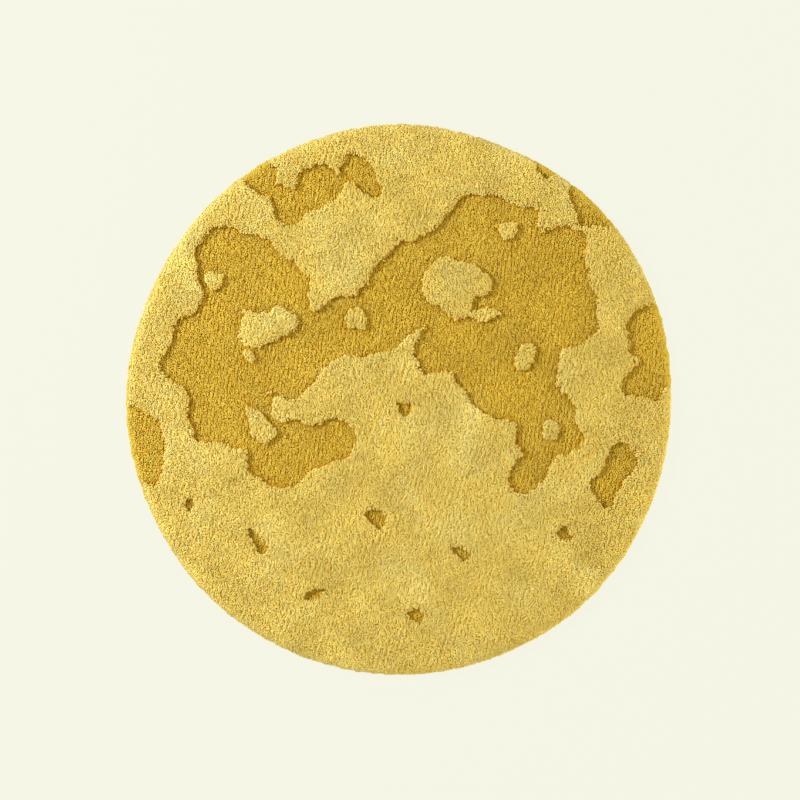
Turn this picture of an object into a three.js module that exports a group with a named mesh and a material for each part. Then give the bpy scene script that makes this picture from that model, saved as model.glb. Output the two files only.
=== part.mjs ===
// Round tufted rug with a full moon in two heights of cut pile: bright ground, darker seas and pits.
// Millimetres, +Z up. It lies on its flat back, with the origin under its middle and the top of the
// moon, seen from above, towards +Y.
import * as THREE from 'three';

// Heights above the floor, with the backing
const highPile = 20; // light yarn, the bright ground
const lowPile = 12; // darker yarn, the seas and pits
const rimHeight = 6; // the widest line of the rug, where the outermost tufts curl over
const highRounding = 24; // how far in from the rim the tall pile is rounded off
const lowRounding = 14; // the same for the short pile
const lump = 1.1; // how much the cutting leaves the pile uneven

// Distance from the middle to the rim, at equal turns anticlockwise from +X: a circle laid by hand
const rimRadii = [500, 506, 509, 503, 506, 501, 499, 496, 500, 498, 501, 502, 504, 504, 505, 501];

// The tufted edge below its widest line, down to the edge of the backing
const edgeSteps = [
  { inset: 1.5, height: 2.5 },
  { inset: 7, height: 0 },
];

// Seas are overlapping round basins whose shores melt together; pits are round and stand alone
const seas = [
  { part: 'broad', x: 160, y: 272, radius: 108 },
  { part: 'broad', x: 44, y: 214, radius: 88 },
  { part: 'broad', x: 276, y: 178, radius: 90 },
  { part: 'broad', x: 204, y: 62, radius: 98 },
  { part: 'broad', x: 304, y: 266, radius: 52 },
  { part: 'broad', x: 268, y: -46, radius: 64 },
  { part: 'broad', x: 240, y: -134, radius: 42 },
  { part: 'broad', x: 92, y: 104, radius: 64 },
  { part: 'strait', x: -34, y: 150, radius: 58 },
  { part: 'strait', x: -104, y: 128, radius: 60 },
  { part: 'west', x: -262, y: 196, radius: 104 },
  { part: 'west', x: -356, y: 100, radius: 76 },
  { part: 'west', x: -190, y: 84, radius: 76 },
  { part: 'west', x: -306, y: -14, radius: 84 },
  { part: 'west', x: -216, y: -92, radius: 66 },
  { part: 'west', x: -126, y: -82, radius: 46 },
  { part: 'west', x: -322, y: 272, radius: 44 },
  { part: 'north', x: -146, y: 388, radius: 42 },
  { part: 'north', x: -70, y: 410, radius: 36 },
  { part: 'north', x: -212, y: 362, radius: 36 },
  { part: 'north', x: -256, y: 420, radius: 42 },
  { part: 'east rim', x: 468, y: 120, radius: 58 },
  { part: 'east rim', x: 464, y: 34, radius: 46 },
  { part: 'west rim', x: -478, y: -62, radius: 48 },
  { part: 'west rim', x: -462, y: -128, radius: 36 },
  { part: 'north-east rim', x: 352, y: 362, radius: 48 },
  { part: 'north-east rim', x: 286, y: 418, radius: 28 },
  { part: 'lake', x: 400, y: -106, radius: 34 },
  { part: 'lake', x: 388, y: -154, radius: 30 },
];
const pits = [
  { x: 18, y: -8, radius: 17 },
  { x: -34, y: -216, radius: 20 },
  { x: 112, y: -282, radius: 16 },
  { x: -262, y: -262, radius: 17 },
  { x: 306, y: -252, radius: 15 },
  { x: -150, y: -352, radius: 14 },
  { x: 36, y: -390, radius: 14 },
  { x: -372, y: -190, radius: 14 },
];
const islands = [
  { within: 'broad', x: 92, y: 204, radius: 42 },
  { within: 'broad', x: 142, y: 222, radius: 30 },
  { within: 'broad', x: 108, y: 168, radius: 22 },
  { within: 'broad', x: 232, y: 76, radius: 20 },
  { within: 'broad', x: 196, y: 318, radius: 16 },
  { within: 'broad', x: 268, y: -66, radius: 15 },
  { within: 'strait', x: -82, y: 140, radius: 18 },
  { within: 'west', x: -262, y: 132, radius: 33 },
  { within: 'west', x: -222, y: 150, radius: 25 },
  { within: 'west', x: -258, y: -46, radius: 21 },
  { within: 'west', x: -330, y: 216, radius: 16 },
];
const seaMelt = 18; // how far apart two basins still run together
const islandMelt = 12;

// Waves that unsettle every shore, as a hand-held tufting gun does: shift of the point by dx or dy,
// and how many millimetres along x and y make one radian
const shoreWaves = [
  { dx: 8, dy: 0, alongX: Infinity, alongY: 34, start: 0.7 },
  { dx: 5, dy: 0, alongX: 41, alongY: 17, start: 2.1 },
  { dx: 3, dy: 0, alongX: -13, alongY: 9.5, start: 0 },
  { dx: 0, dy: 8, alongX: 31, alongY: Infinity, start: 1.9 },
  { dx: 0, dy: 5, alongX: 19, alongY: -37, start: 0.4 },
  { dx: 0, dy: 3, alongX: 10.5, alongY: 12, start: 0 },
];

// The surface is a web of rings round the middle, ring i with 6 i corners, and closer rings at the rim
const webRings = 25;
const rimRings = [24, 13, 6, 2, 0]; // distance from the rim; the first is the last ring of the web
const sectors = 6;
const nearestCut = 0.15; // a shore crosses an edge of the web no nearer its end than this share

function makeYarn(name, color) {
  return new THREE.MeshStandardMaterial({ name, color, roughness: 0.95, metalness: 0 });
}
const lightYarn = makeYarn('light yarn', 0xdbbc5c);
const mustardYarn = makeYarn('mustard yarn', 0xc5a038);

const fullTurn = 2 * Math.PI;
const clamp = THREE.MathUtils.clamp;

// Distance to the rim at an angle: a smooth closed curve through the table (Catmull-Rom)
function rimRadius(angle) {
  const count = rimRadii.length;
  const place = THREE.MathUtils.euclideanModulo(angle / fullTurn, 1) * count;
  const at = Math.floor(place);
  const t = place - at;
  const [before, start, end, after] = [-1, 0, 1, 2].map((step) => rimRadii[(at + step + count) % count]);
  const bend = 3 * (start - end) + after - before;
  const rise = 2 * before - 5 * start + 4 * end - after;
  return start + 0.5 * t * (end - before + t * (rise + t * bend));
}

// The lesser of two distances, with the crease between them rounded over the melt
function meltedLeast(a, b, melt) {
  const share = clamp(0.5 + 0.5 * (b - a) / melt, 0, 1);
  return b + (a - b) * share - melt * share * (1 - share);
}

function distanceToDiscs(discs, melt, x, y) {
  const distances = discs.map((disc) => Math.hypot(x - disc.x, y - disc.y) - disc.radius);
  return distances.reduce((least, distance) => meltedLeast(least, distance, melt));
}

// Distance to the nearest shore: below zero in the short pile, above zero in the tall pile
function shoreDistance(x, y) {
  let shiftedX = x;
  let shiftedY = y;
  for (const wave of shoreWaves) {
    const swing = Math.sin(x / wave.alongX + y / wave.alongY + wave.start);
    shiftedX += wave.dx * swing;
    shiftedY += wave.dy * swing;
  }
  const toSea = distanceToDiscs(seas, seaMelt, shiftedX, shiftedY);
  const toPit = Math.min(...pits.map((pit) => Math.hypot(shiftedX - pit.x, shiftedY - pit.y) - pit.radius));
  const toIsland = distanceToDiscs(islands, islandMelt, shiftedX, shiftedY);
  return Math.max(Math.min(toSea, toPit), -toIsland);
}

// Height of the pile's tips: rounded down to the rim on a quarter ellipse, and a little lumpy
function pileTop(point, isLow) {
  const reach = clamp(point.fromRim / (isLow ? lowRounding : highRounding), 0, 1);
  const rounding = Math.sqrt(1 - (1 - reach) ** 2);
  const broadLumps = Math.sin(point.x / 29 + Math.sin(point.y / 43)) * Math.sin(point.y / 24 + 1);
  const smallLumps = Math.sin(point.x / 11 - point.y / 16) * Math.sin(point.y / 9 + 2);
  const lumps = lump * (0.6 * broadLumps + 0.4 * smallLumps);
  return rimHeight + ((isLow ? lowPile : highPile) - rimHeight + lumps) * rounding;
}

// A point of the plan, with its distance in from the rim
function planPoint(x, y) {
  const fromRim = Math.max(0, rimRadius(Math.atan2(y, x)) - Math.hypot(x, y));
  return { x, y, fromRim };
}

function pointFromRim(angle, fromRim, share = 1) {
  const radius = (rimRadius(angle) - fromRim) * share;
  return { x: radius * Math.cos(angle), y: radius * Math.sin(angle), fromRim: rimRadius(angle) - radius };
}

// All corners of the web in plan, and its triangles as triples of corners, anticlockwise from above
function makeWeb() {
  const points = [pointFromRim(0, rimRings[0], 0)];
  const triangles = [];
  const ringStart = (ring) => (ring === 0 ? 0 : 1 + sectors * ring * (ring - 1) / 2);
  const onRing = (ring, step) => ringStart(ring) + (ring === 0 ? 0 : step % (sectors * ring));

  for (let ring = 1; ring <= webRings; ring += 1) {
    for (let step = 0; step < sectors * ring; step += 1) {
      points.push(pointFromRim(fullTurn * step / (sectors * ring), rimRings[0], ring / webRings));
    }
    for (let sector = 0; sector < sectors; sector += 1) {
      const inner = sector * (ring - 1);
      const outer = sector * ring;
      for (let step = 0; step < ring; step += 1) {
        const outerCorners = [onRing(ring, outer + step), onRing(ring, outer + step + 1)];
        triangles.push([...outerCorners, onRing(ring - 1, inner + step)]);
      }
      for (let step = 0; step < ring - 1; step += 1) {
        const outerCorner = onRing(ring, outer + step + 1);
        triangles.push([onRing(ring - 1, inner + step), outerCorner, onRing(ring - 1, inner + step + 1)]);
      }
    }
  }

  const around = sectors * webRings;
  let inside = ringStart(webRings);
  for (const fromRim of rimRings.slice(1)) {
    const outside = points.length;
    for (let step = 0; step < around; step += 1) {
      const next = (step + 1) % around;
      points.push(pointFromRim(fullTurn * step / around, fromRim));
      triangles.push([inside + step, outside + step, outside + next]);
      triangles.push([inside + step, outside + next, inside + next]);
    }
    inside = outside;
  }
  return { points, triangles };
}

// The pile seen from above: its corners in space, its faces sorted by yarn, and one corner of its rim.
// Both heights are whole, and a wall stands between them wherever a shore crosses the web
function makePile() {
  const { points, triangles } = makeWeb();
  const shore = points.map((point) => shoreDistance(point.x, point.y));
  const corners = [];
  const faces = { high: [], low: [] };
  const known = new Map();

  // The corner over a plan point at one of the two heights; at the rim both are the same corner
  function cornerOver(name, point, isLow) {
    const key = point.fromRim === 0 ? name : `${name} ${isLow}`;
    if (!known.has(key)) {
      known.set(key, corners.length);
      corners.push([point.x, point.y, pileTop(point, isLow)]);
    }
    return known.get(key);
  }

  // Where a shore cuts the edge between two plan points; on the rim the cut stays on the rim
  function shoreCut(a, b) {
    const [from, to] = a < b ? [a, b] : [b, a];
    const share = clamp(shore[from] / (shore[from] - shore[to]), nearestCut, 1 - nearestCut);
    const x = THREE.MathUtils.lerp(points[from].x, points[to].x, share);
    const y = THREE.MathUtils.lerp(points[from].y, points[to].y, share);
    const isOnRim = points[from].fromRim === 0 && points[to].fromRim === 0;
    return { name: `${from}-${to}`, point: isOnRim ? pointFromRim(Math.atan2(y, x), 0) : planPoint(x, y) };
  }

  for (const triangle of triangles) {
    const isLow = triangle.map((corner) => shore[corner] < 0);
    const lows = isLow.filter(Boolean).length;
    if (lows === 0 || lows === 3) {
      addFace(faces, lows === 3, triangle.map((corner) => cornerOver(corner, points[corner], lows === 3)));
      continue;
    }
    // One corner is alone at its height: it keeps a small triangle, the others a quad, with a wall between
    const alone = isLow.indexOf(lows === 1);
    const [a, b, c] = [0, 1, 2].map((step) => triangle[(alone + step) % 3]);
    const aloneLow = lows === 1;
    const cuts = [shoreCut(a, b), shoreCut(a, c)];
    const [nearB, nearC] = cuts.map((cut) => cornerOver(cut.name, cut.point, aloneLow));
    const [farB, farC] = cuts.map((cut) => cornerOver(cut.name, cut.point, !aloneLow));
    const cornerB = cornerOver(b, points[b], !aloneLow);
    const cornerC = cornerOver(c, points[c], !aloneLow);
    addFace(faces, aloneLow, [cornerOver(a, points[a], aloneLow), nearB, nearC]);
    addFace(faces, !aloneLow, [farB, cornerB, cornerC]);
    addFace(faces, !aloneLow, [farB, cornerC, farC]);
    addFace(faces, false, [nearC, nearB, farB]); // the wall is cut through the light yarn
    addFace(faces, false, [nearC, farB, farC]);
  }
  return { corners, faces, rimCorner: known.get(points.length - 1) };
}

// A wall that runs out at the rim has corners that fall together, and such a face is left out
function addFace(faces, isLow, face) {
  if (new Set(face).size === 3) faces[isLow ? 'low' : 'high'].push(face);
}

// The rim, walked anticlockwise along the edges that only one face has: corners, with the yarn beside each
function walkRim({ faces, rimCorner }) {
  const edgesOf = (face) => face.map((from, place) => [from, face[(place + 1) % 3]]);
  const edges = new Set([...faces.high, ...faces.low].flatMap(edgesOf).map((edge) => edge.join()));
  const onwards = new Map();
  for (const yarn of ['high', 'low']) {
    for (const [from, to] of faces[yarn].flatMap(edgesOf)) {
      if (!edges.has([to, from].join())) onwards.set(from, { to, isLow: yarn === 'low' });
    }
  }
  const rim = [];
  let corner = rimCorner;
  do {
    rim.push({ corner, isLow: onwards.get(corner).isLow });
    corner = onwards.get(corner).to;
  } while (corner !== rimCorner);
  return rim;
}

// The tufted edge goes down and in from the rim to the backing
function addEdge({ corners, faces }, rim) {
  let above = rim.map(({ corner }) => corner);
  for (const step of edgeSteps) {
    const below = rim.map(({ corner }) => {
      const [x, y] = corners[corner];
      const share = 1 - step.inset / Math.hypot(x, y);
      return corners.push([x * share, y * share, step.height]) - 1;
    });
    rim.forEach(({ isLow }, place) => {
      const next = (place + 1) % rim.length;
      addFace(faces, isLow, [above[next], above[place], below[place]]);
      addFace(faces, isLow, [above[next], below[place], below[next]]);
    });
    above = below;
  }
  return above;
}

// The flat back is one broad triangle with a fan on each of its sides
function addBack({ faces }, outline) {
  const tips = [0, 1, 2, 3].map((third) => Math.round(third * outline.length / 3));
  addFace(faces, false, [outline[tips[0]], outline[tips[2]], outline[tips[1]]]);
  for (let fan = 0; fan < 3; fan += 1) {
    for (let place = tips[fan] + 1; place < tips[fan + 1]; place += 1) {
      addFace(faces, false, [outline[tips[fan]], outline[(place + 1) % outline.length], outline[place]]);
    }
  }
}

function makeRug() {
  const pile = makePile();
  addBack(pile, addEdge(pile, walkRim(pile)));
  const { corners, faces } = pile;
  const geometry = new THREE.BufferGeometry();
  geometry.setAttribute('position', new THREE.Float32BufferAttribute(corners.flat(), 3));
  geometry.setIndex([...faces.high, ...faces.low].flat());
  geometry.addGroup(0, faces.high.length * 3, 0);
  geometry.addGroup(faces.high.length * 3, faces.low.length * 3, 1);
  geometry.computeVertexNormals();
  const mesh = new THREE.Mesh(geometry, [lightYarn, mustardYarn]);
  mesh.name = 'rug';
  return mesh;
}

const moonRug = new THREE.Group();
moonRug.add(makeRug());

export default moonRug;
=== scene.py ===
import math

import bpy
import numpy as np
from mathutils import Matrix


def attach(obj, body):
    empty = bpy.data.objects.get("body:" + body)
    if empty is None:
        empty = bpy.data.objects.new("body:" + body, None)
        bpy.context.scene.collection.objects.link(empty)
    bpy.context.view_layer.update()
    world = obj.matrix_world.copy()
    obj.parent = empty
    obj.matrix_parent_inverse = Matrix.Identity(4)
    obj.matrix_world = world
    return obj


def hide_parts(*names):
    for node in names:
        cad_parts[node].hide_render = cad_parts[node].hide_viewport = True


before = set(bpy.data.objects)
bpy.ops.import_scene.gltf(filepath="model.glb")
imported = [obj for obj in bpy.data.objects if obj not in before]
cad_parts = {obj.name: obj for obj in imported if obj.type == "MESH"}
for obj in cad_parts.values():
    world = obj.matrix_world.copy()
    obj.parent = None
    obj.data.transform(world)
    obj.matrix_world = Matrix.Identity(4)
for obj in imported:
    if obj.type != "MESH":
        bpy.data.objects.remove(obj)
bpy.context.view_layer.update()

mm = 0.001

# the plan of the rug, the same as its solid's: heights, rim and the moon's seas
plan = dict(
    highPile=20 * mm, lowPile=12 * mm, rimHeight=6 * mm,
    highRounding=24 * mm, lowRounding=14 * mm, halfWidth=500 * mm,
    # mm from the middle to the rim, at even turns from +X
    rimRadii=[500, 506, 509, 503, 506, 501, 499, 496, 500, 498, 501, 502, 504, 504, 505, 501],
    seaMelt=18 * mm, islandMelt=12 * mm,
    # how far tufts stray over the shores and over what length, which the smooth solid leaves out
    rag=1.3 * mm, ragSize=(10 * mm, 26 * mm), ragSeed=3,
)

# lumps of the pile: height, share of the broad ones, and mm along each wave for one radian
lumps = dict(
    height=1.1 * mm, broadShare=0.6,
    broadAcross=29, broadTurn=43, broadAlong=24, smallAcross=11, smallSlant=16, smallAlong=9,
)

# rows of x, y and radius in mm
seas = [
    # broad sea
    (160, 272, 108), (44, 214, 88), (276, 178, 90), (204, 62, 98),
    (304, 266, 52), (268, -46, 64), (240, -134, 42), (92, 104, 64),
    # strait
    (-34, 150, 58), (-104, 128, 60),
    # west sea
    (-262, 196, 104), (-356, 100, 76), (-190, 84, 76), (-306, -14, 84),
    (-216, -92, 66), (-126, -82, 46), (-322, 272, 44),
    # north sea
    (-146, 388, 42), (-70, 410, 36), (-212, 362, 36), (-256, 420, 42),
    # along the rim
    (468, 120, 58), (464, 34, 46), (-478, -62, 48), (-462, -128, 36), (352, 362, 48), (286, 418, 28),
    # lake
    (400, -106, 34), (388, -154, 30),
]
pits = [
    (18, -8, 17), (-34, -216, 20), (112, -282, 16), (-262, -262, 17),
    (306, -252, 15), (-150, -352, 14), (36, -390, 14), (-372, -190, 14),
]
islands = [
    # in the broad sea
    (92, 204, 42), (142, 222, 30), (108, 168, 22), (232, 76, 20), (196, 318, 16), (268, -66, 15),
    # in the strait
    (-82, 140, 18),
    # in the west sea
    (-262, 132, 33), (-222, 150, 25), (-258, -46, 21), (-330, 216, 16),
]
# shift along x, shift along y, mm along x and along y for one radian, start
shoreWaves = [
    (8, 0, math.inf, 34, 0.7), (5, 0, 41, 17, 2.1), (3, 0, -13, 9.5, 0),
    (0, 8, 31, math.inf, 1.9), (0, 5, 19, -37, 0.4), (0, 3, 10.5, 12, 0),
]
tiny = 1e-9


# distance from the middle to the rim: a smooth closed curve (Catmull-Rom) through the radii
def rimRadius(angle):
    radii = np.array(plan["rimRadii"]) * mm
    place = np.mod(angle / (2 * np.pi), 1) * len(radii)
    at = np.floor(place).astype(int)
    t = place - at
    a, b, c, d = (radii[(at + step) % len(radii)] for step in (-1, 0, 1, 2))
    return b + 0.5 * t * (c - a + t * (2 * a - 5 * b + 4 * c - d + t * (3 * (b - c) + d - a)))


def fromRim(x, y):
    return rimRadius(np.arctan2(y, x)) - np.hypot(x, y)


# a smooth uneven field round 0 with a spread of 1: a sum of sine waves with wavelengths between two sizes
# and random directions. A stretch over 1 draws its blots out along y
def unevenField(x, y, size, stretch=1.0, waves=20, seed=0):
    draw = np.random.default_rng(seed)
    length = draw.uniform(*size, waves)
    turn = draw.uniform(0, 2 * np.pi, waves)
    start = draw.uniform(0, 2 * np.pi, waves)
    kx = 2 * np.pi / length * np.cos(turn)
    ky = 2 * np.pi / length * np.sin(turn) / stretch
    total = np.zeros_like(x)
    for index in range(waves):
        total += np.sin(kx[index] * x + ky[index] * y + start[index])
    return total / math.sqrt(waves / 2)


# least distance to any disc, the creases between discs rounded over the melt
def discDistance(discs, melt, x, y):
    least = None
    for cx, cy, radius in discs:
        away = np.hypot(x - cx * mm, y - cy * mm) - radius * mm
        if least is None:
            least = away
            continue
        share = np.clip(0.5 + 0.5 * (away - least) / melt, 0, 1)
        least = away + (least - away) * share - melt * share * (1 - share)
    return least


# distance to the nearest shore, below zero in the short pile. The waves shift each point first, and an
# uneven field is added, which rags the line
def shoreDistance(x, y):
    sx, sy = x.copy(), y.copy()
    for dx, dy, alongX, alongY, start in shoreWaves:
        swing = np.sin(x / (alongX * mm) + y / (alongY * mm) + start)
        sx += dx * mm * swing
        sy += dy * mm * swing
    pit = discDistance(pits, tiny, sx, sy)
    sea = discDistance(seas, plan["seaMelt"], sx, sy)
    island = discDistance(islands, plan["islandMelt"], sx, sy)
    ragged = unevenField(x, y, plan["ragSize"], seed=plan["ragSeed"]) * plan["rag"]
    return np.maximum(np.minimum(sea, pit), -island) + ragged


# height of the cut tips: a quarter ellipse up from the rim, plus two waves of lumps
def pileTop(x, y, inward, isLow):
    reach = np.clip(inward / np.where(isLow, plan["lowRounding"], plan["highRounding"]), 0, 1)
    rounding = np.sqrt(1 - (1 - reach) ** 2)
    px, py = x / mm, y / mm
    broad = np.sin(px / lumps["broadAcross"] + np.sin(py / lumps["broadTurn"]))
    broad = broad * np.sin(py / lumps["broadAlong"] + 1)
    small = np.sin(px / lumps["smallAcross"] - py / lumps["smallSlant"])
    small = small * np.sin(py / lumps["smallAlong"] + 2)
    lump = lumps["height"] * (lumps["broadShare"] * broad + (1 - lumps["broadShare"]) * small)
    full = np.where(isLow, plan["lowPile"], plan["highPile"]) + lump
    return plan["rimHeight"] + (full - plan["rimHeight"]) * rounding


def smoothStep(low, high, value):
    t = np.clip((value - low) / (high - low), 0, 1)
    return t * t * (3 - 2 * t)


# direction in plan away from high ground: minus the slope of the shore distance, by small steps
def seaward(x, y):
    step = 1 * mm
    gx = shoreDistance(x + step, y) - shoreDistance(x - step, y)
    gy = shoreDistance(x, y + step) - shoreDistance(x, y - step)
    size = np.maximum(np.hypot(gx, gy), tiny)
    return -gx / size, -gy / size


def unit(vectors):
    return vectors / np.maximum(np.linalg.norm(vectors, axis=1, keepdims=True), tiny)


def meshFromArrays(name, points, faces, material, uv=None, **attributes):
    mesh = bpy.data.meshes.new(name)
    mesh.vertices.add(len(points))
    mesh.vertices.foreach_set("co", points.astype(np.float32).ravel())
    mesh.loops.add(faces.size)
    mesh.loops.foreach_set("vertex_index", faces.astype(np.int32).ravel())
    mesh.polygons.add(len(faces))
    mesh.polygons.foreach_set("loop_start", np.arange(0, faces.size, 3, dtype=np.int32))
    mesh.polygons.foreach_set("use_smooth", np.ones(len(faces), bool))
    if uv is not None:
        mesh.uv_layers.new(name="OFBake").data.foreach_set("uv", uv.astype(np.float32).ravel())
    for key, values in attributes.items():
        layer = mesh.attributes.new(key, "FLOAT", "POINT")
        layer.data.foreach_set("value", values.astype(np.float32).ravel())
    mesh.update()
    mesh.validate()
    mesh.materials.append(material)
    piece = bpy.data.objects.new(name, mesh)
    bpy.context.scene.collection.objects.link(piece)
    return piece


# shader helpers
def addNode(tree, kind, **settings):
    node = tree.nodes.new(kind)
    for key, value in settings.items():
        setattr(node, key, value)
    return node


def readAttribute(tree, name):
    return addNode(tree, "ShaderNodeAttribute", attribute_name=name).outputs["Fac"]


def newGroup(name, inputs, outputs):
    group = bpy.data.node_groups.new(name, "ShaderNodeTree")
    for label, kind in inputs:
        group.interface.new_socket(name=label, in_out="INPUT", socket_type=kind)
    for label, kind in outputs:
        group.interface.new_socket(name=label, in_out="OUTPUT", socket_type=kind)
    return group, addNode(group, "NodeGroupInput"), addNode(group, "NodeGroupOutput")


def mixColour(tree, blend, factor, first, second):
    node = addNode(tree, "ShaderNodeMix", data_type="RGBA", blend_type=blend)
    for index, value in ((0, factor), (6, first), (7, second)):  # the node's factor and its two colours
        if isinstance(value, bpy.types.NodeSocket):
            tree.links.new(value, node.inputs[index])
        else:
            node.inputs[index].default_value = value
    return node.outputs[2]


# from 0 at the low value to 1 at the high one
def riseBetween(tree, value, low, high):
    node = addNode(tree, "ShaderNodeMapRange")
    tree.links.new(value, node.inputs["Value"])
    node.inputs["From Min"].default_value = low
    node.inputs["From Max"].default_value = high
    return node.outputs["Result"]


def addRelief(tree, height, strength, depth, shader):
    bump = addNode(tree, "ShaderNodeBump")
    bump.inputs["Strength"].default_value = strength
    bump.inputs["Distance"].default_value = depth
    tree.links.new(height, bump.inputs["Height"])
    tree.links.new(bump.outputs[0], shader.inputs["Normal"])


cutYarn = dict(
    rootShadeEnd=0.1, tipStart=0.9,  # shares of a lock between which the root's painted shade turns into the tip's colour
    napSheenFineness=11.0, napSheenDetail=3.0, paleFrom=0.48, paleTo=0.72,
    fibreStretch=(1.0, 0.18, 1.0), fibreDetail=2.0,
)


# yarn colour: painted shade at the root, full at the tip, a tone for each tuft that also carries painted
# light and shade, and pale drifts of the nap, a painted sheen
def makeYarnGroup():
    colour, number = "NodeSocketColor", "NodeSocketFloat"
    inputs = [(label, colour) for label in ("Tip", "Root", "Pale")]
    inputs += [(label, number) for label in ("Tone", "NapSheen", "Fibres")]
    group, given, result = newGroup("cutYarn", inputs, [("Colour", colour), ("Height", number)])
    link = group.links.new
    # painted shade: each lock is darker towards its root, where the locks shade each other
    rise = riseBetween(group, readAttribute(group, "along"), cutYarn["rootShadeEnd"], cutYarn["tipStart"])
    tint = mixColour(group, "MIX", rise, given.outputs["Root"], given.outputs["Tip"])

    # painted sheen: pale drifts where the nap catches the light, from a noise in the object's space
    place = addNode(group, "ShaderNodeTexCoord").outputs["Object"]
    napsheen = addNode(group, "ShaderNodeTexNoise", noise_dimensions="3D")
    link(place, napsheen.inputs["Vector"])
    napsheen.inputs["Scale"].default_value = cutYarn["napSheenFineness"]
    napsheen.inputs["Detail"].default_value = cutYarn["napSheenDetail"]
    napSheenMask = riseBetween(group, napsheen.outputs["Fac"], cutYarn["paleFrom"], cutYarn["paleTo"])
    paleShare = addNode(group, "ShaderNodeMath", operation="MULTIPLY")
    link(napSheenMask, paleShare.inputs[0])
    link(given.outputs["NapSheen"], paleShare.inputs[1])
    tint = mixColour(group, "MIX", paleShare.outputs[0], tint, given.outputs["Pale"])

    # painted shade: locks mix towards the root's shade colour by a share that is painted shade at the banks
    # and under the edge, plus a little random hue of each lock, and tone becomes a brightness round 1
    tint = mixColour(group, "MIX", readAttribute(group, "deep"), tint, given.outputs["Root"])
    bright = addNode(group, "ShaderNodeMath", operation="MULTIPLY_ADD")
    link(readAttribute(group, "tone"), bright.inputs[0])
    link(given.outputs["Tone"], bright.inputs[1])
    bright.inputs[2].default_value = 1.0
    scaled = addNode(group, "ShaderNodeVectorMath", operation="SCALE")
    link(tint, scaled.inputs[0])
    link(bright.outputs[0], scaled.inputs["Scale"])
    link(scaled.outputs[0], result.inputs["Colour"])

    # fibres run along each lock: noise on its own map, drawn out lengthwise
    own = addNode(group, "ShaderNodeUVMap", uv_map="OFBake")
    stretch = addNode(group, "ShaderNodeVectorMath", operation="MULTIPLY")
    link(own.outputs[0], stretch.inputs[0])
    stretch.inputs[1].default_value = cutYarn["fibreStretch"]
    fibre = addNode(group, "ShaderNodeTexNoise", noise_dimensions="3D")
    link(stretch.outputs[0], fibre.inputs["Vector"])
    link(given.outputs["Fibres"], fibre.inputs["Scale"])
    fibre.inputs["Detail"].default_value = cutYarn["fibreDetail"]
    link(fibre.outputs["Fac"], result.inputs["Height"])
    return group


# scatter is how far in mm light travels through the loose fibres, for red, green and blue
# root is each yarn's painted shade colour, darker and warmer than the tip
yarns = {
    # pale is the painted sheen colour of the nap drifts, and also the sheen's tint
    "lightYarn": dict(
        tip=(0.715, 0.555, 0.152), root=(0.585, 0.385, 0.050), pale=(0.78, 0.655, 0.235),
        tone=0.07, napsheen=0.5, fibres=900.0, relief=0.2, reliefDepth=0.4 * mm, roughness=0.9,
        sheen=0.08, sheenSpread=0.45, scatterShare=0.65, scatter=(1.4, 1.05, 0.42)),
    "mustardYarn": dict(
        tip=(0.69, 0.495, 0.076), root=(0.54, 0.30, 0.009), pale=(0.75, 0.56, 0.10),
        tone=0.1, napsheen=0.3, fibres=900.0, relief=0.2, reliefDepth=0.4 * mm, roughness=0.9,
        sheen=0.04, sheenSpread=0.45, scatterShare=0.65, scatter=(1.4, 1.05, 0.42)),
}


def makeYarn(name, group):
    look = yarns[name]
    material = bpy.data.materials.new(name)
    material.use_nodes = True
    tree = material.node_tree
    shader = tree.nodes["Principled BSDF"]
    shader.inputs["Roughness"].default_value = look["roughness"]
    shader.inputs["Specular IOR Level"].default_value = 0.0
    shader.inputs["Sheen Weight"].default_value = look["sheen"]
    shader.inputs["Sheen Roughness"].default_value = look["sheenSpread"]
    shader.inputs["Sheen Tint"].default_value = (*look["pale"], 1)
    shader.inputs["Subsurface Weight"].default_value = look["scatterShare"]
    shader.inputs["Subsurface Radius"].default_value = look["scatter"]
    shader.inputs["Subsurface Scale"].default_value = 1 * mm
    cut = addNode(tree, "ShaderNodeGroup", node_tree=group)
    for label in ("Tip", "Root", "Pale"):
        cut.inputs[label].default_value = (*look[label.lower()], 1)
    for label in ("Tone", "NapSheen", "Fibres"):
        cut.inputs[label].default_value = look[label.lower()]
    tree.links.new(cut.outputs["Colour"], shader.inputs["Base Color"])
    addRelief(tree, cut.outputs["Height"], look["relief"], look["reliefDepth"], shader)
    return material


ground = dict(
    spokes=300, rings=84, inset=6 * mm,  # the ground keeps inside the tufts that stand out of it
    evenTo=24 * mm, outerRings=[17, 11, 6, 2, 0],  # even rings up to this from the edge, then at these mm
    depthLow=3.6 * mm, depthHigh=2.3 * mm, least=2.2 * mm,  # depth under the cut tips, and least height
    bankStart=-1.0 * mm, bankEnd=3.5 * mm,  # from the shore, where it climbs from short to tall pile
    colourEdge=1 * mm,  # from the shore, where the one colour turns into the other
    edge=[(5.1 * mm, 2.5 * mm), (10.6 * mm, 0.0)],  # rows of inset and height below the widest line
    backInset=12 * mm, backRings=4,
    # painted shade: the ground seen between the tufts takes each yarn's darker root colour
    cloth=(0.62, 0.55, 0.40), lightRootShade=(0.55, 0.34, 0.035), mustardRootShade=(0.46, 0.23, 0.005),
    roughness=0.95, weaveFineness=420.0, weaveShade=0.35, relief=0.5, reliefDepth=0.5 * mm,
)


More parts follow.
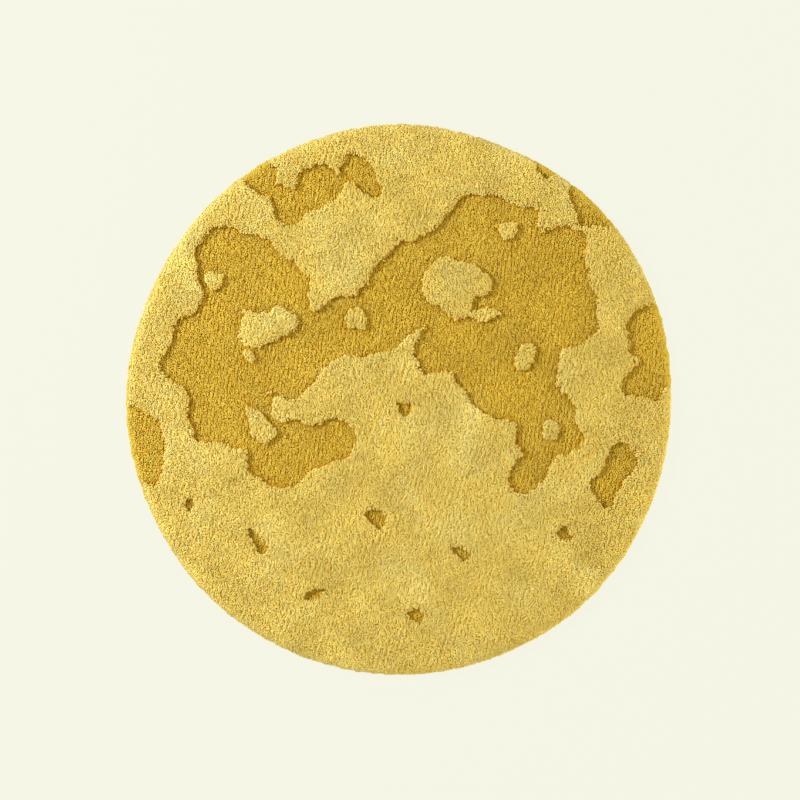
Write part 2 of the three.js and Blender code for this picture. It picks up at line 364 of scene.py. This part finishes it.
# triangles between rows of points round the middle, and a fan to the pole at each end
def lathFaces(rows, spokes):
    spoke = np.arange(spokes)
    a = (np.arange(rows - 1)[:, None] * spokes + spoke[None, :]).ravel()
    b = (np.arange(rows - 1)[:, None] * spokes + np.roll(spoke, -1)[None, :]).ravel()
    first, last = spoke, (rows - 1) * spokes + spoke
    topPole, backPole = rows * spokes, rows * spokes + 1
    return np.concatenate([
        np.stack([a, a + spokes, b + spokes], 1),
        np.stack([a, b + spokes, b], 1),
        np.stack([np.full(spokes, topPole), first, np.roll(first, -1)], 1),
        np.stack([np.full(spokes, backPole), np.roll(last, -1), last], 1)])


# the ground between the tufts, down the edge and under the back: a profile of inset and height, carried
# round the middle along the rim's own radius, with one point at each pole
def makeGround(material):
    spokes = ground["spokes"]
    angle = np.arange(spokes) * 2 * np.pi / spokes
    rim = rimRadius(angle)
    evenRings = np.linspace(plan["halfWidth"], ground["evenTo"], ground["rings"])[1:]
    inward = np.concatenate([evenRings, np.array(ground["outerRings"]) * mm])
    radius = (rim[None, :] - ground["inset"]) * (1 - inward[:, None] / plan["halfWidth"])
    x, y = radius * np.cos(angle), radius * np.sin(angle)
    fromEdge = fromRim(x, y)
    shore = shoreDistance(x, y)
    low = pileTop(x, y, fromEdge, np.ones_like(x, bool)) - ground["depthLow"]
    high = pileTop(x, y, fromEdge, np.zeros_like(x, bool)) - ground["depthHigh"]
    height = low + (high - low) * smoothStep(ground["bankStart"], ground["bankEnd"], shore)
    height = np.maximum(height, ground["least"])
    isLight = smoothStep(-ground["colourEdge"], ground["colourEdge"], shore)

    lower = [(rim - inset, up) for inset, up in ground["edge"]]
    for share in np.linspace(1, 0, ground["backRings"] + 1)[:-1]:
        lower.append(((rim - ground["backInset"]) * share, 0.0))
    lowerRadius = np.array([row for row, up in lower])
    lowerHeight = np.array([np.full(spokes, up) for row, up in lower])
    allX = np.vstack([x, lowerRadius * np.cos(angle)])
    allY = np.vstack([y, lowerRadius * np.sin(angle)])
    allZ = np.vstack([height, lowerHeight])
    light = np.vstack([isLight, np.repeat(isLight[-1:], len(lower), axis=0)])
    back = np.vstack([np.zeros_like(isLight), lowerHeight < tiny])
    middle = np.zeros(1)
    middleTop = pileTop(middle, middle, np.full(1, plan["halfWidth"]), np.zeros(1, bool))[0]
    poles = [[0, 0, middleTop - ground["depthHigh"]], [0, 0, 0]]
    points = np.vstack([np.stack([allX, allY, allZ], axis=-1).reshape(-1, 3), poles])
    poleLight = float(shoreDistance(middle, middle)[0] > 0)
    return meshFromArrays(
        "rugGround", points, lathFaces(len(allX), spokes), material,
        light=np.append(light.ravel(), [poleLight, poleLight]), back=np.append(back.ravel(), [0, 1]))


def makeGroundMaterial():
    material = bpy.data.materials.new("rugGround")
    material.use_nodes = True
    tree = material.node_tree
    shader = tree.nodes["Principled BSDF"]
    shader.inputs["Roughness"].default_value = ground["roughness"]
    shader.inputs["Specular IOR Level"].default_value = 0.0
    dark, light, cloth = [(*ground[key], 1) for key in ("mustardRootShade", "lightRootShade", "cloth")]
    # painted shade of the roots, by which yarn stands over the ground
    rootShades = mixColour(tree, "MIX", readAttribute(tree, "light"), dark, light)
    weave = addNode(tree, "ShaderNodeTexNoise")
    tree.links.new(addNode(tree, "ShaderNodeTexCoord").outputs["Object"], weave.inputs["Vector"])
    weave.inputs["Scale"].default_value = ground["weaveFineness"]
    woven = mixColour(tree, "MULTIPLY", ground["weaveShade"], cloth, weave.outputs["Color"])
    colour = mixColour(tree, "MIX", readAttribute(tree, "back"), rootShades, woven)
    tree.links.new(colour, shader.inputs["Base Color"])
    addRelief(tree, weave.outputs["Fac"], ground["relief"], ground["reliefDepth"], shader)
    return material


lockShape = dict(
    sides=3, unevenness=0.16, margin=0.04,  # uneven share of a corner's reach, and margin of a map cell
    helper=(0.31, 0.0, 0.95),  # any direction that few locks lie along, to turn their corners from
)


# faces of one lock as point numbers, and each corner's place in its cell of the map: turn across, rings
# evenly up, each ring half a side further round. Ring 0 is the root and the last is the tip
def lockFaces(ringCount, perLock):
    sides, margin = lockShape["sides"], lockShape["margin"]
    levels = np.linspace(0, 1, ringCount + 2)

    def corner(ring, side):
        spot = ((side + 0.5 * ring) / (sides + 1.5), margin + (1 - 2 * margin) * levels[ring])
        if ring == 0:
            return 0, spot
        if ring == ringCount + 1:
            return perLock - 1, spot
        return 1 + (ring - 1) * sides + side % sides, spot

    lock = []
    for side in range(sides):
        lock.append((corner(0, side + 1), corner(1, side + 1), corner(1, side)))
        for ring in range(1, ringCount):
            lock.append((corner(ring, side), corner(ring, side + 1), corner(ring + 1, side)))
            lock.append((corner(ring, side + 1), corner(ring + 1, side + 1), corner(ring + 1, side)))
        lock.append((corner(ringCount, side), corner(ringCount, side + 1), corner(ringCount + 1, side)))
    numbers = np.array([[point for point, spot in face] for face in lock])
    spots = np.array([[spot for point, spot in face] for face in lock])
    return numbers, spots, np.repeat(levels, [1] + [sides] * ringCount + [1])


# locks of cut yarn: each is a spindle with a point at its root, rings of corners and a point at its tip,
# carried along a curve from root to tip that bends towards the middle. Every array has a row for each
# lock, and rings holds each ring's share of the length and of the width
def makeLocks(name, root, middle, tip, width, tone, deep, material, rings, flatness):
    sides, margin = lockShape["sides"], lockShape["margin"]
    count = len(root)
    draw = np.random.default_rng(count)
    axis = unit(tip - root)
    aside = unit(np.cross(axis, np.array(lockShape["helper"])))
    across = np.cross(axis, aside)
    twist = draw.uniform(0, 2 * np.pi, count)
    corners = []
    for ring, (share, size) in enumerate(rings):
        curve = (1 - share) ** 2 * root + 2 * share * (1 - share) * middle + share ** 2 * tip
        for side in range(sides):
            turn = twist + 2 * np.pi * (side + 0.5 * ring) / sides
            uneven = draw.uniform(1 - lockShape["unevenness"], 1 + lockShape["unevenness"], count)
            around = np.cos(turn)[:, None] * aside + np.sin(turn)[:, None] * across
            corners.append(curve + (width * size * uneven)[:, None] * flatness * around)
    points = np.stack([root, *corners, tip], axis=1)
    perLock = points.shape[1]

    numbers, spots, along = lockFaces(len(rings), perLock)
    faces = (numbers[None] + perLock * np.arange(count)[:, None, None]).reshape(-1, 3)
    columns = math.ceil(math.sqrt(count))
    cell = np.stack([np.arange(count) % columns, np.arange(count) // columns], 1)
    uv = (spots[None] * (1 - 2 * margin) + margin + cell[:, None, None, :]) / columns
    return meshFromArrays(
        name, points.reshape(-1, 3), faces, material, uv=uv.reshape(-1, 2),
        along=np.tile(along, count), tone=np.repeat(tone, perLock), deep=np.repeat(deep, perLock))


lowestRoot = 1.2 * mm

pileLocks = dict(
    light=dict(
        seed=11, stitch=3.0 * mm, width=2.7 * mm, length=7.5 * mm, jitter=0.7 * mm, lean=0.22, sway=0.22,
        ragged=0.19 * mm, flatness=(0.8, 1.3, 1.0), napShade=1.0),
    mustard=dict(
        seed=29, stitch=3.1 * mm, width=2.2 * mm, length=6 * mm, jitter=0.45 * mm, lean=0.26, sway=0.16,
        ragged=0.22 * mm, flatness=(0.72, 1.4, 1.0), napShade=0.6),
    # rows are laid this far from the middle each way, and this far apart
    farthest=530 * mm, rowGap=2.6 * mm,
    rings=[(0.93, 1.0)], lengthSpread=0.1, widthSpread=0.15,
    # clumps: wavelengths of their field, how far its slope pulls the tips, and the height of its ridges
    clumpSize=(6.5 * mm, 12 * mm), clumpStretch=2.0, clumpWaves=26,
    clumpPull=0.462 * mm * mm, ridge=0.35 * mm,
    # rim: tips stay this far in, more so in the east and west, and lean out within the reach
    rimGap=1.5 * mm, rimGapAside=5.5 * mm, rimReach=20 * mm, rimFade=1.6, rimLean=1.2,
    # patches of smoother and rougher cutting, and how much smoother and straighter the rim is
    patchSize=(25 * mm, 70 * mm), patchRange=(-1.2, 1.8), smoothest=0.5,
    rimSmoothing=0.7, rimStraightening=0.5,
    proud=0.3 * mm,  # tips start this much over the solid's top
    # shores: the tall pile hangs over them and leans to the sea, and the short pile runs in under it
    shoreShake=0.8 * mm, overhang=2.0 * mm, runIn=0.5 * mm, shoreReach=9 * mm,
    shoreLean=0.7, lowShoreShare=0.35, bevel=0.6 * mm, shoreLength=0.15, shoreThinning=0.25,
    # painted shade of the bank on the short pile, and painted light: how much paler the locks are near a
    # shore
    shadeStart=11 * mm, shadeFull=2 * mm, paintedShadeShare=0.5, lowPaintedLight=0.4, highPaintedLight=0.3,
    swaySize=(18 * mm, 45 * mm), swayAlong=1.3,
    ownLean=(0.55, 1.5),  # spread along x and along y
    bendLean=0.15, bendPlace=0.55, bendUnderTip=0.5 * mm,
    toneSpread=0.45, paintedRidgeLight=0.25,
    hueAndShadeShare=(0.08, 0.1),  # each lock's own random share of the root colour, middle and spread
    # painted shade and light: broad and small drifts of tone where the nap lies another way
    broadNapShadeSize=(70 * mm, 170 * mm), smallNapShadeSize=(16 * mm, 45 * mm), broadNapShade=0.6, smallNapShade=0.35,
)


# tips of one pile: rows along y a fixed gap apart, a stitch apart along the row, shaken a little and
# drawn together into clumps by the slope of an uneven field
def layRows(kind):
    seed, stitch, jitter = [pileLocks[kind][key] for key in ("seed", "stitch", "jitter")]
    size, stretch, waves = [pileLocks[key] for key in ("clumpSize", "clumpStretch", "clumpWaves")]
    across = np.arange(-pileLocks["farthest"], pileLocks["farthest"], pileLocks["rowGap"])
    along = np.arange(-pileLocks["farthest"], pileLocks["farthest"], stitch)
    x, y = np.meshgrid(across, along, indexing="ij")
    draw = np.random.default_rng(seed)
    y = y + draw.uniform(0, stitch, (x.shape[0], 1))
    x, y = x.ravel(), y.ravel()
    x = x + draw.normal(0, jitter, x.size)
    y = y + draw.normal(0, jitter, y.size)

    def clumps(u, v):
        return unevenField(u, v, size, stretch, waves, seed + 1)

    step = 0.5 * mm
    dx = (clumps(x + step, y) - clumps(x - step, y)) / (2 * step)
    dy = (clumps(x, y + step) - clumps(x, y - step)) / (2 * step)
    x = x + pileLocks["clumpPull"] * dx
    y = y + pileLocks["clumpPull"] * dy
    return x, y, clumps(x, y)


# the tips that stand inside the rim and on their own side of the shores
def pickTips(kind, isLow, draw):
    x, y, ridge = layRows(kind)
    inward = fromRim(x, y)
    across = np.abs(x) / np.maximum(np.hypot(x, y), tiny)
    inside = inward > pileLocks["rimGap"] + pileLocks["rimGapAside"] * across ** 2
    x, y, ridge, inward = x[inside], y[inside], ridge[inside], inward[inside]
    shore = shoreDistance(x, y) + draw.normal(0, pileLocks["shoreShake"], x.size)
    keep = shore < pileLocks["runIn"] if isLow else shore > -pileLocks["overhang"]
    return [part[keep] for part in (x, y, ridge, inward, shore)]


# each lock's tip lies on the pile's top and its root a length below, along a direction that is up, plus
# outwards near the rim, plus seawards near a shore, plus a slow sway and a lean of its own
def growPile(kind, isLow):
    pile, shared = pileLocks[kind], pileLocks
    seed = pile["seed"]
    draw = np.random.default_rng(seed + 2)
    x, y, ridge, inward, shore = pickTips(kind, isLow, draw)
    count = x.size
    nearRim = (1 - np.clip(inward / shared["rimReach"], 0, 1)) ** shared["rimFade"]
    patches = smoothStep(*shared["patchRange"], unevenField(x, y, shared["patchSize"], seed=seed + 7))
    rough = (shared["smoothest"] + patches) * (1 - shared["rimSmoothing"] * nearRim)
    z = pileTop(x, y, inward, np.full(x.shape, isLow)) + shared["ridge"] * ridge
    z = z - rough * np.abs(draw.normal(0, pile["ragged"], count)) + shared["proud"]
    # painted shade near the bank on the short pile, partly offset by painted light, and the tall pile is
    # painted paler near a shore
    if isLow:
        nearShore = smoothStep(-shared["shoreReach"], 0, shore) * shared["lowShoreShare"]
        shade = smoothStep(-shared["shadeStart"], -shared["shadeFull"], shore)
        paintedLight = shared["lowPaintedLight"] * shade
        thinning = 0
    else:
        nearShore = 1 - smoothStep(-shared["overhang"], shared["shoreReach"], shore)
        z = z - shared["bevel"] * nearShore ** 2
        shade = np.zeros(count)
        paintedLight = shared["highPaintedLight"] * nearShore
        thinning = shared["shoreThinning"]

    outward = np.stack([x, y], 1) / np.hypot(x, y)[:, None]
    sway = np.stack([unevenField(x, y, shared["swaySize"], seed=seed + 3),
                     unevenField(x, y, shared["swaySize"], seed=seed + 4) * shared["swayAlong"]], 1)
    own = np.stack([draw.normal(0, spread, count) for spread in shared["ownLean"]], 1)
    lean = sway * pile["sway"] + own * pile["lean"] * (1 - shared["rimStraightening"] * nearRim)[:, None]
    lean = lean + (nearShore * shared["shoreLean"])[:, None] * np.stack(seaward(x, y), 1)
    lean = lean + (nearRim * shared["rimLean"])[:, None] * outward
    direction = unit(np.column_stack([lean, np.ones(count)]))
    tip = np.column_stack([x, y, z])
    length = pile["length"] * draw.uniform(1 - shared["lengthSpread"], 1 + shared["lengthSpread"], count)
    length = length * (1 + shared["shoreLength"] * nearShore)
    root = tip - direction * length[:, None]
    root[:, 2] = np.maximum(root[:, 2], lowestRoot)
    bend = np.column_stack([lean * shared["bendLean"], np.ones(count)])
    middle = root + bend * (length * shared["bendPlace"])[:, None]
    middle[:, 2] = np.minimum(middle[:, 2], tip[:, 2] - shared["bendUnderTip"])
    width = pile["width"] * draw.uniform(1 - shared["widthSpread"], 1 + shared["widthSpread"], count)
    width = width * (1 - thinning * nearShore)

    # each lock's random tone, plus painted light on the higher ridges of the clumps and near a shore
    tone = draw.normal(0, shared["toneSpread"], count) + shared["paintedRidgeLight"] * ridge
    tone = np.clip(tone, -1, 1) + paintedLight
    # painted shade and light of the nap, in broad and small drifts
    broadNapShade = unevenField(x, y, shared["broadNapShadeSize"], seed=seed + 5)
    smallNapShade = unevenField(x, y, shared["smallNapShadeSize"], seed=seed + 6)
    tone = tone + pile["napShade"] * (shared["broadNapShade"] * broadNapShade + shared["smallNapShade"] * smallNapShade)
    # painted shade by the bank, plus each lock's own random hue
    deep = np.clip(shared["paintedShadeShare"] * shade + draw.normal(*shared["hueAndShadeShare"], count), 0, 1)
    return root, middle, tip, width, tone, deep


shoreLocks = dict(
    seed=53, side=1030 * mm, every=4.0 * mm * mm,  # one random point to this area of a square
    rings=[(0.5, 1.0), (0.82, 0.62)], width=2.1 * mm, length=10 * mm,
    lengthSpread=0.15, widthSpread=0.2, arch=1.0 * mm,
    line=0.6 * mm, reach=2.4 * mm, fromRim=6 * mm,  # picked this near a line just inland of the shore
    moveLow=0.9 * mm, moveHigh=2.6 * mm, shake=0.9 * mm,  # how far out to sea, and what height adds to it
    lowShare=0.1, highShare=0.86,  # of the step between the piles
    leanOut=(0.7, 1.4), leanSpread=0.3, up=0.4, upHigh=0.35,
    tone=(-0.5, 0.35), paintedLowShade=0.5, hueAndShadeShare=0.8,  # tone's middle, which paints shade, and spread, and the painted shade that a low place takes off
)


# thin locks that hang out of the tall pile's bank, low ones close in and high ones further out: random
# points near a shore, each moved down the slope of the shore distance as far as its height asks for
def growShore():
    look = shoreLocks
    draw = np.random.default_rng(look["seed"])
    side = look["side"]
    x, y = draw.uniform(-side / 2, side / 2, (2, int(side * side / look["every"])))
    shore = shoreDistance(x, y)
    near = (np.abs(shore - look["line"]) < look["reach"]) & (fromRim(x, y) > look["fromRim"])
    x, y, shore = x[near], y[near], shore[near]
    count = len(x)
    sea = np.stack(seaward(x, y), 1)
    rise = draw.uniform(0, 1, count)
    move = shore + look["moveLow"] + look["moveHigh"] * rise + draw.normal(0, look["shake"], count)
    x, y = x + sea[:, 0] * move, y + sea[:, 1] * move
    inward = np.maximum(fromRim(x, y), 0)
    low = pileTop(x, y, inward, np.ones(count, bool))
    high = pileTop(x, y, inward, np.zeros(count, bool))
    tip = np.column_stack([x, y, low + (high - low) * (look["lowShare"] + look["highShare"] * rise)])
    lean = sea * draw.uniform(*look["leanOut"], count)[:, None]
    lean = lean + draw.normal(0, look["leanSpread"], (count, 2))
    direction = unit(np.column_stack([lean, look["up"] + look["upHigh"] * rise]))
    length = look["length"] * draw.uniform(1 - look["lengthSpread"], 1 + look["lengthSpread"], count)
    root = tip - direction * length[:, None]
    root[:, 2] = np.maximum(root[:, 2], lowestRoot)
    middle = (root + tip) / 2 + np.array([0, 0, look["arch"]])
    width = look["width"] * draw.uniform(1 - look["widthSpread"], 1 + look["widthSpread"], count)
    # painted shade: the lower the locks hang on the bank, the darker they are and the more they take of the
    # root's colour
    tone = draw.normal(*look["tone"], count) - look["paintedLowShade"] * (1 - rise)
    return root, middle, tip, width, tone, look["hueAndShadeShare"] * (1 - rise)


rimLocks = dict(
    seed=47, circuits=8, spacing=2.3 * mm, shake=0.3,
    lowest=-0.75, highest=1.1, slantShake=0.6,  # slants in radians, and a share of the step between circuits
    rings=[(0.45, 0.95), (0.84, 0.72)], width=2.6 * mm, length=9 * mm,
    lengthSpread=0.1, widthSpread=0.15, arch=0.8 * mm,
    rootHeight=1.4 * mm, tipShake=0.5 * mm, lean=0.16, pitchShare=0.8, droop=0.1,
    rimRag=0.45 * mm, rimRagSize=(12 * mm, 50 * mm), roundShare=0.9, undercut=6 * mm,
    colourFrom=0.985,  # share of the radius where the yarn's colour is looked up
    # tone: its spread, then painted light and shade round the edge: a plain value that paints the rim
    # darker, how much paler the east-south-east is painted, which leaves painted shade on the
    # west-north-west, and that side's turn, the share of this that mustard takes, and the painted shade that
    # makes locks under the edge darker and more like the root's colour
    toneSpread=0.3, tone=-1.2, paintedEastLight=2.6, paintedLightTurn=-0.35, mustardShare=0.6, paintedLowShade=1.5, hueAndShadeShare=0.3,
)


# locks that stick out of the edge, in circuits of the rim at an even spacing, each circuit half a spacing
# on. The slant runs from below level to steeply up: above the widest line it is the angle round the
# quarter ellipse, and below it the edge turns under
def growRim():
    look = rimLocks
    seed = look["seed"]
    draw = np.random.default_rng(seed)
    perCircuit = int(2 * np.pi * plan["halfWidth"] / look["spacing"])
    count = perCircuit * look["circuits"]
    circuit = np.repeat(np.arange(look["circuits"]), perCircuit)
    place = np.arange(count) + draw.normal(0, look["shake"], count) + 0.5 * circuit
    angle = place * 2 * np.pi / perCircuit
    step = (look["highest"] - look["lowest"]) / (look["circuits"] - 1)
    slant = look["lowest"] + step * (circuit + draw.uniform(-look["slantShake"], look["slantShake"], count))
    out = np.stack([np.cos(angle), np.sin(angle)], 1)
    rimX, rimY = (out * plan["halfWidth"]).T
    rim = rimRadius(angle) + look["rimRag"] * unevenField(rimX, rimY, look["rimRagSize"], seed=seed + 1)
    probe = look["colourFrom"] * rim
    isLow = shoreDistance(probe * out[:, 0], probe * out[:, 1]) < 0
    full = np.where(isLow, plan["lowPile"], plan["highPile"])
    rounding = np.where(isLow, plan["lowRounding"], plan["highRounding"])
    above, below = np.maximum(slant, 0) * look["roundShare"], np.minimum(slant, 0)
    inset = rounding * (1 - np.cos(above)) + look["undercut"] * below ** 2
    up = plan["rimHeight"] * (1 + below) + (full - plan["rimHeight"]) * np.sin(above)
    tip = np.column_stack([out * (rim - inset + draw.normal(0, look["tipShake"], count))[:, None], up])
    pitch = slant * look["pitchShare"] - look["droop"]
    lean = draw.normal(0, look["lean"], (count, 2))
    direction = unit(np.column_stack([out * np.cos(pitch)[:, None] + lean, np.sin(pitch)]))
    length = look["length"] * draw.uniform(1 - look["lengthSpread"], 1 + look["lengthSpread"], count)
    root = tip - direction * length[:, None]
    root[:, 2] = np.maximum(root[:, 2], look["rootHeight"])
    middle = (root + tip) / 2 + np.array([0, 0, look["arch"]])
    width = look["width"] * draw.uniform(1 - look["widthSpread"], 1 + look["widthSpread"], count)
    # painted shade on the west-north-west, painted light on the east-south-east, and painted shade under the
    # edge
    rimPaintedLight = look["tone"] + look["paintedEastLight"] * np.cos(angle - look["paintedLightTurn"])
    tone = draw.normal(0, look["toneSpread"], count) + rimPaintedLight * np.where(isLow, look["mustardShare"], 1.0)
    tone = tone + look["paintedLowShade"] * below
    return root, middle, tip, width, tone, -look["hueAndShadeShare"] * below, isLow


def rideAlong(piece):
    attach(piece, "root")
    return piece


mostTriangles = 190000  # in one piece


# splits a pile into pieces of a like number of locks, from west to east
def makePieces(name, pile, material, rings, flatness=(1.0, 1.0, 1.0)):
    root, middle, tip, width, tone, deep = pile
    order = np.argsort(tip[:, 0], kind="stable")
    perLock = 2 * lockShape["sides"] * len(rings)  # triangles
    count = math.ceil(len(order) * perLock / mostTriangles)
    made = []
    for index, chosen in enumerate(np.array_split(order, count)):
        piece = makeLocks(f"{name}{index + 1}", root[chosen], middle[chosen], tip[chosen], width[chosen],
                          tone[chosen], deep[chosen], material, rings, flatness)
        made.append(rideAlong(piece))
    print(name, len(order), "locks in", count, "pieces")
    return made


yarnGroup = makeYarnGroup()
lightYarn = makeYarn("lightYarn", yarnGroup)
mustardYarn = makeYarn("mustardYarn", yarnGroup)
rugGround = rideAlong(makeGround(makeGroundMaterial()))
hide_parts("rug")
print("ground made")

tufts = makePieces("lightPile", growPile("light", False), lightYarn,
                   pileLocks["rings"], pileLocks["light"]["flatness"])
tufts += makePieces("mustardPile", growPile("mustard", True), mustardYarn,
                    pileLocks["rings"], pileLocks["mustard"]["flatness"])
tufts += makePieces("lightShore", growShore(), lightYarn, shoreLocks["rings"])
*rim, rimIsLow = growRim()
lightRim, mustardRim = [[part[chosen] for part in rim] for chosen in (~rimIsLow, rimIsLow)]
tufts += makePieces("lightRim", lightRim, lightYarn, rimLocks["rings"])
tufts += makePieces("mustardRim", mustardRim, mustardYarn, rimLocks["rings"])

studio = dict(
    floorHalf=6.0, floor=(0.02, 0.02, 0.017), glow=(0.888, 0.888, 0.764), backdrop=(0.925, 0.925, 0.795),
    fill=(0.92, 0.86, 0.68), fillPower=1.03,
    cameraHeight=3.2, cameraAt=(2.7 * mm, 0.0), sensor=36, farthest=50,
    imageWidth=800, pixelSize=1000 / 545.5 * mm,  # the rug is 1 m and 545.5 pixels across
    # turn in degrees anticlockwise from +X, rise in degrees, distance and width in m, colour, power in W
    lamps=[
        ("softKey", 160, 31, 4.0, 0.55, (0.71, 0.785, 1.0), 245),
        ("rimFill", -10, 12, 4.0, 2.0, (1.0, 0.97, 0.92), 65),
    ],
)


def makeFloor():
    half = studio["floorHalf"]
    mesh = bpy.data.meshes.new("floor")
    corners = [(-half, -half, 0), (half, -half, 0), (half, half, 0), (-half, half, 0)]
    mesh.from_pydata(corners, [], [(0, 1, 2, 3)])
    floor = bpy.data.objects.new("floor", mesh)
    bpy.context.scene.collection.objects.link(floor)
    paint = bpy.data.materials.new("palePaper")
    paint.use_nodes = True
    shader = paint.node_tree.nodes["Principled BSDF"]
    shader.inputs["Base Color"].default_value = (*studio["floor"], 1)
    shader.inputs["Emission Color"].default_value = (*studio["glow"], 1)
    shader.inputs["Emission Strength"].default_value = 1.0
    shader.inputs["Roughness"].default_value = 1.0
    shader.inputs["Specular IOR Level"].default_value = 0.0
    mesh.materials.append(paint)


# the sky lights the rug with the fill, and the camera sees the backdrop's colour
def makeSky():
    world = bpy.data.worlds.new("studio")
    world.use_nodes = True
    sky = world.node_tree
    fill = sky.nodes["Background"]
    fill.inputs["Color"].default_value = (*studio["fill"], 1)
    fill.inputs["Strength"].default_value = studio["fillPower"]
    seen = addNode(sky, "ShaderNodeBackground")
    seen.inputs["Color"].default_value = (*studio["backdrop"], 1)
    pick = addNode(sky, "ShaderNodeMixShader")
    sky.links.new(addNode(sky, "ShaderNodeLightPath").outputs["Is Camera Ray"], pick.inputs[0])
    sky.links.new(fill.outputs[0], pick.inputs[1])
    sky.links.new(seen.outputs[0], pick.inputs[2])
    sky.links.new(pick.outputs[0], sky.nodes["World Output"].inputs["Surface"])
    bpy.context.scene.world = world


# a round lamp that faces the middle of the rug
def makeLamp(name, turn, rise, distance, width, colour, power):
    light = bpy.data.lights.new(name, "AREA")
    light.shape = "DISK"
    light.size = width
    light.energy = power
    light.color = colour
    lamp = bpy.data.objects.new(name, light)
    turn, rise = math.radians(turn), math.radians(rise)
    level = distance * math.cos(rise)
    lamp.location = (level * math.cos(turn), level * math.sin(turn), distance * math.sin(rise))
    lamp.rotation_euler = (0, math.pi / 2 - rise, turn)
    bpy.context.scene.collection.objects.link(lamp)


# straight above, with a lens that gives the pixel size at the height of the rim
def makeCamera():
    camera = bpy.data.cameras.new("above")
    camera.sensor_width = studio["sensor"]
    wide = studio["imageWidth"] * studio["pixelSize"]
    camera.lens = studio["sensor"] * (studio["cameraHeight"] - plan["rimHeight"]) / wide
    camera.clip_end = studio["farthest"]
    view = bpy.data.objects.new("above", camera)
    view.location = (*studio["cameraAt"], studio["cameraHeight"])
    bpy.context.scene.collection.objects.link(view)
    bpy.context.scene.camera = view


makeFloor()
makeSky()
for lampRow in studio["lamps"]:
    makeLamp(*lampRow)
makeCamera()
bpy.context.scene.view_settings.view_transform = "Standard"
print("studio made")
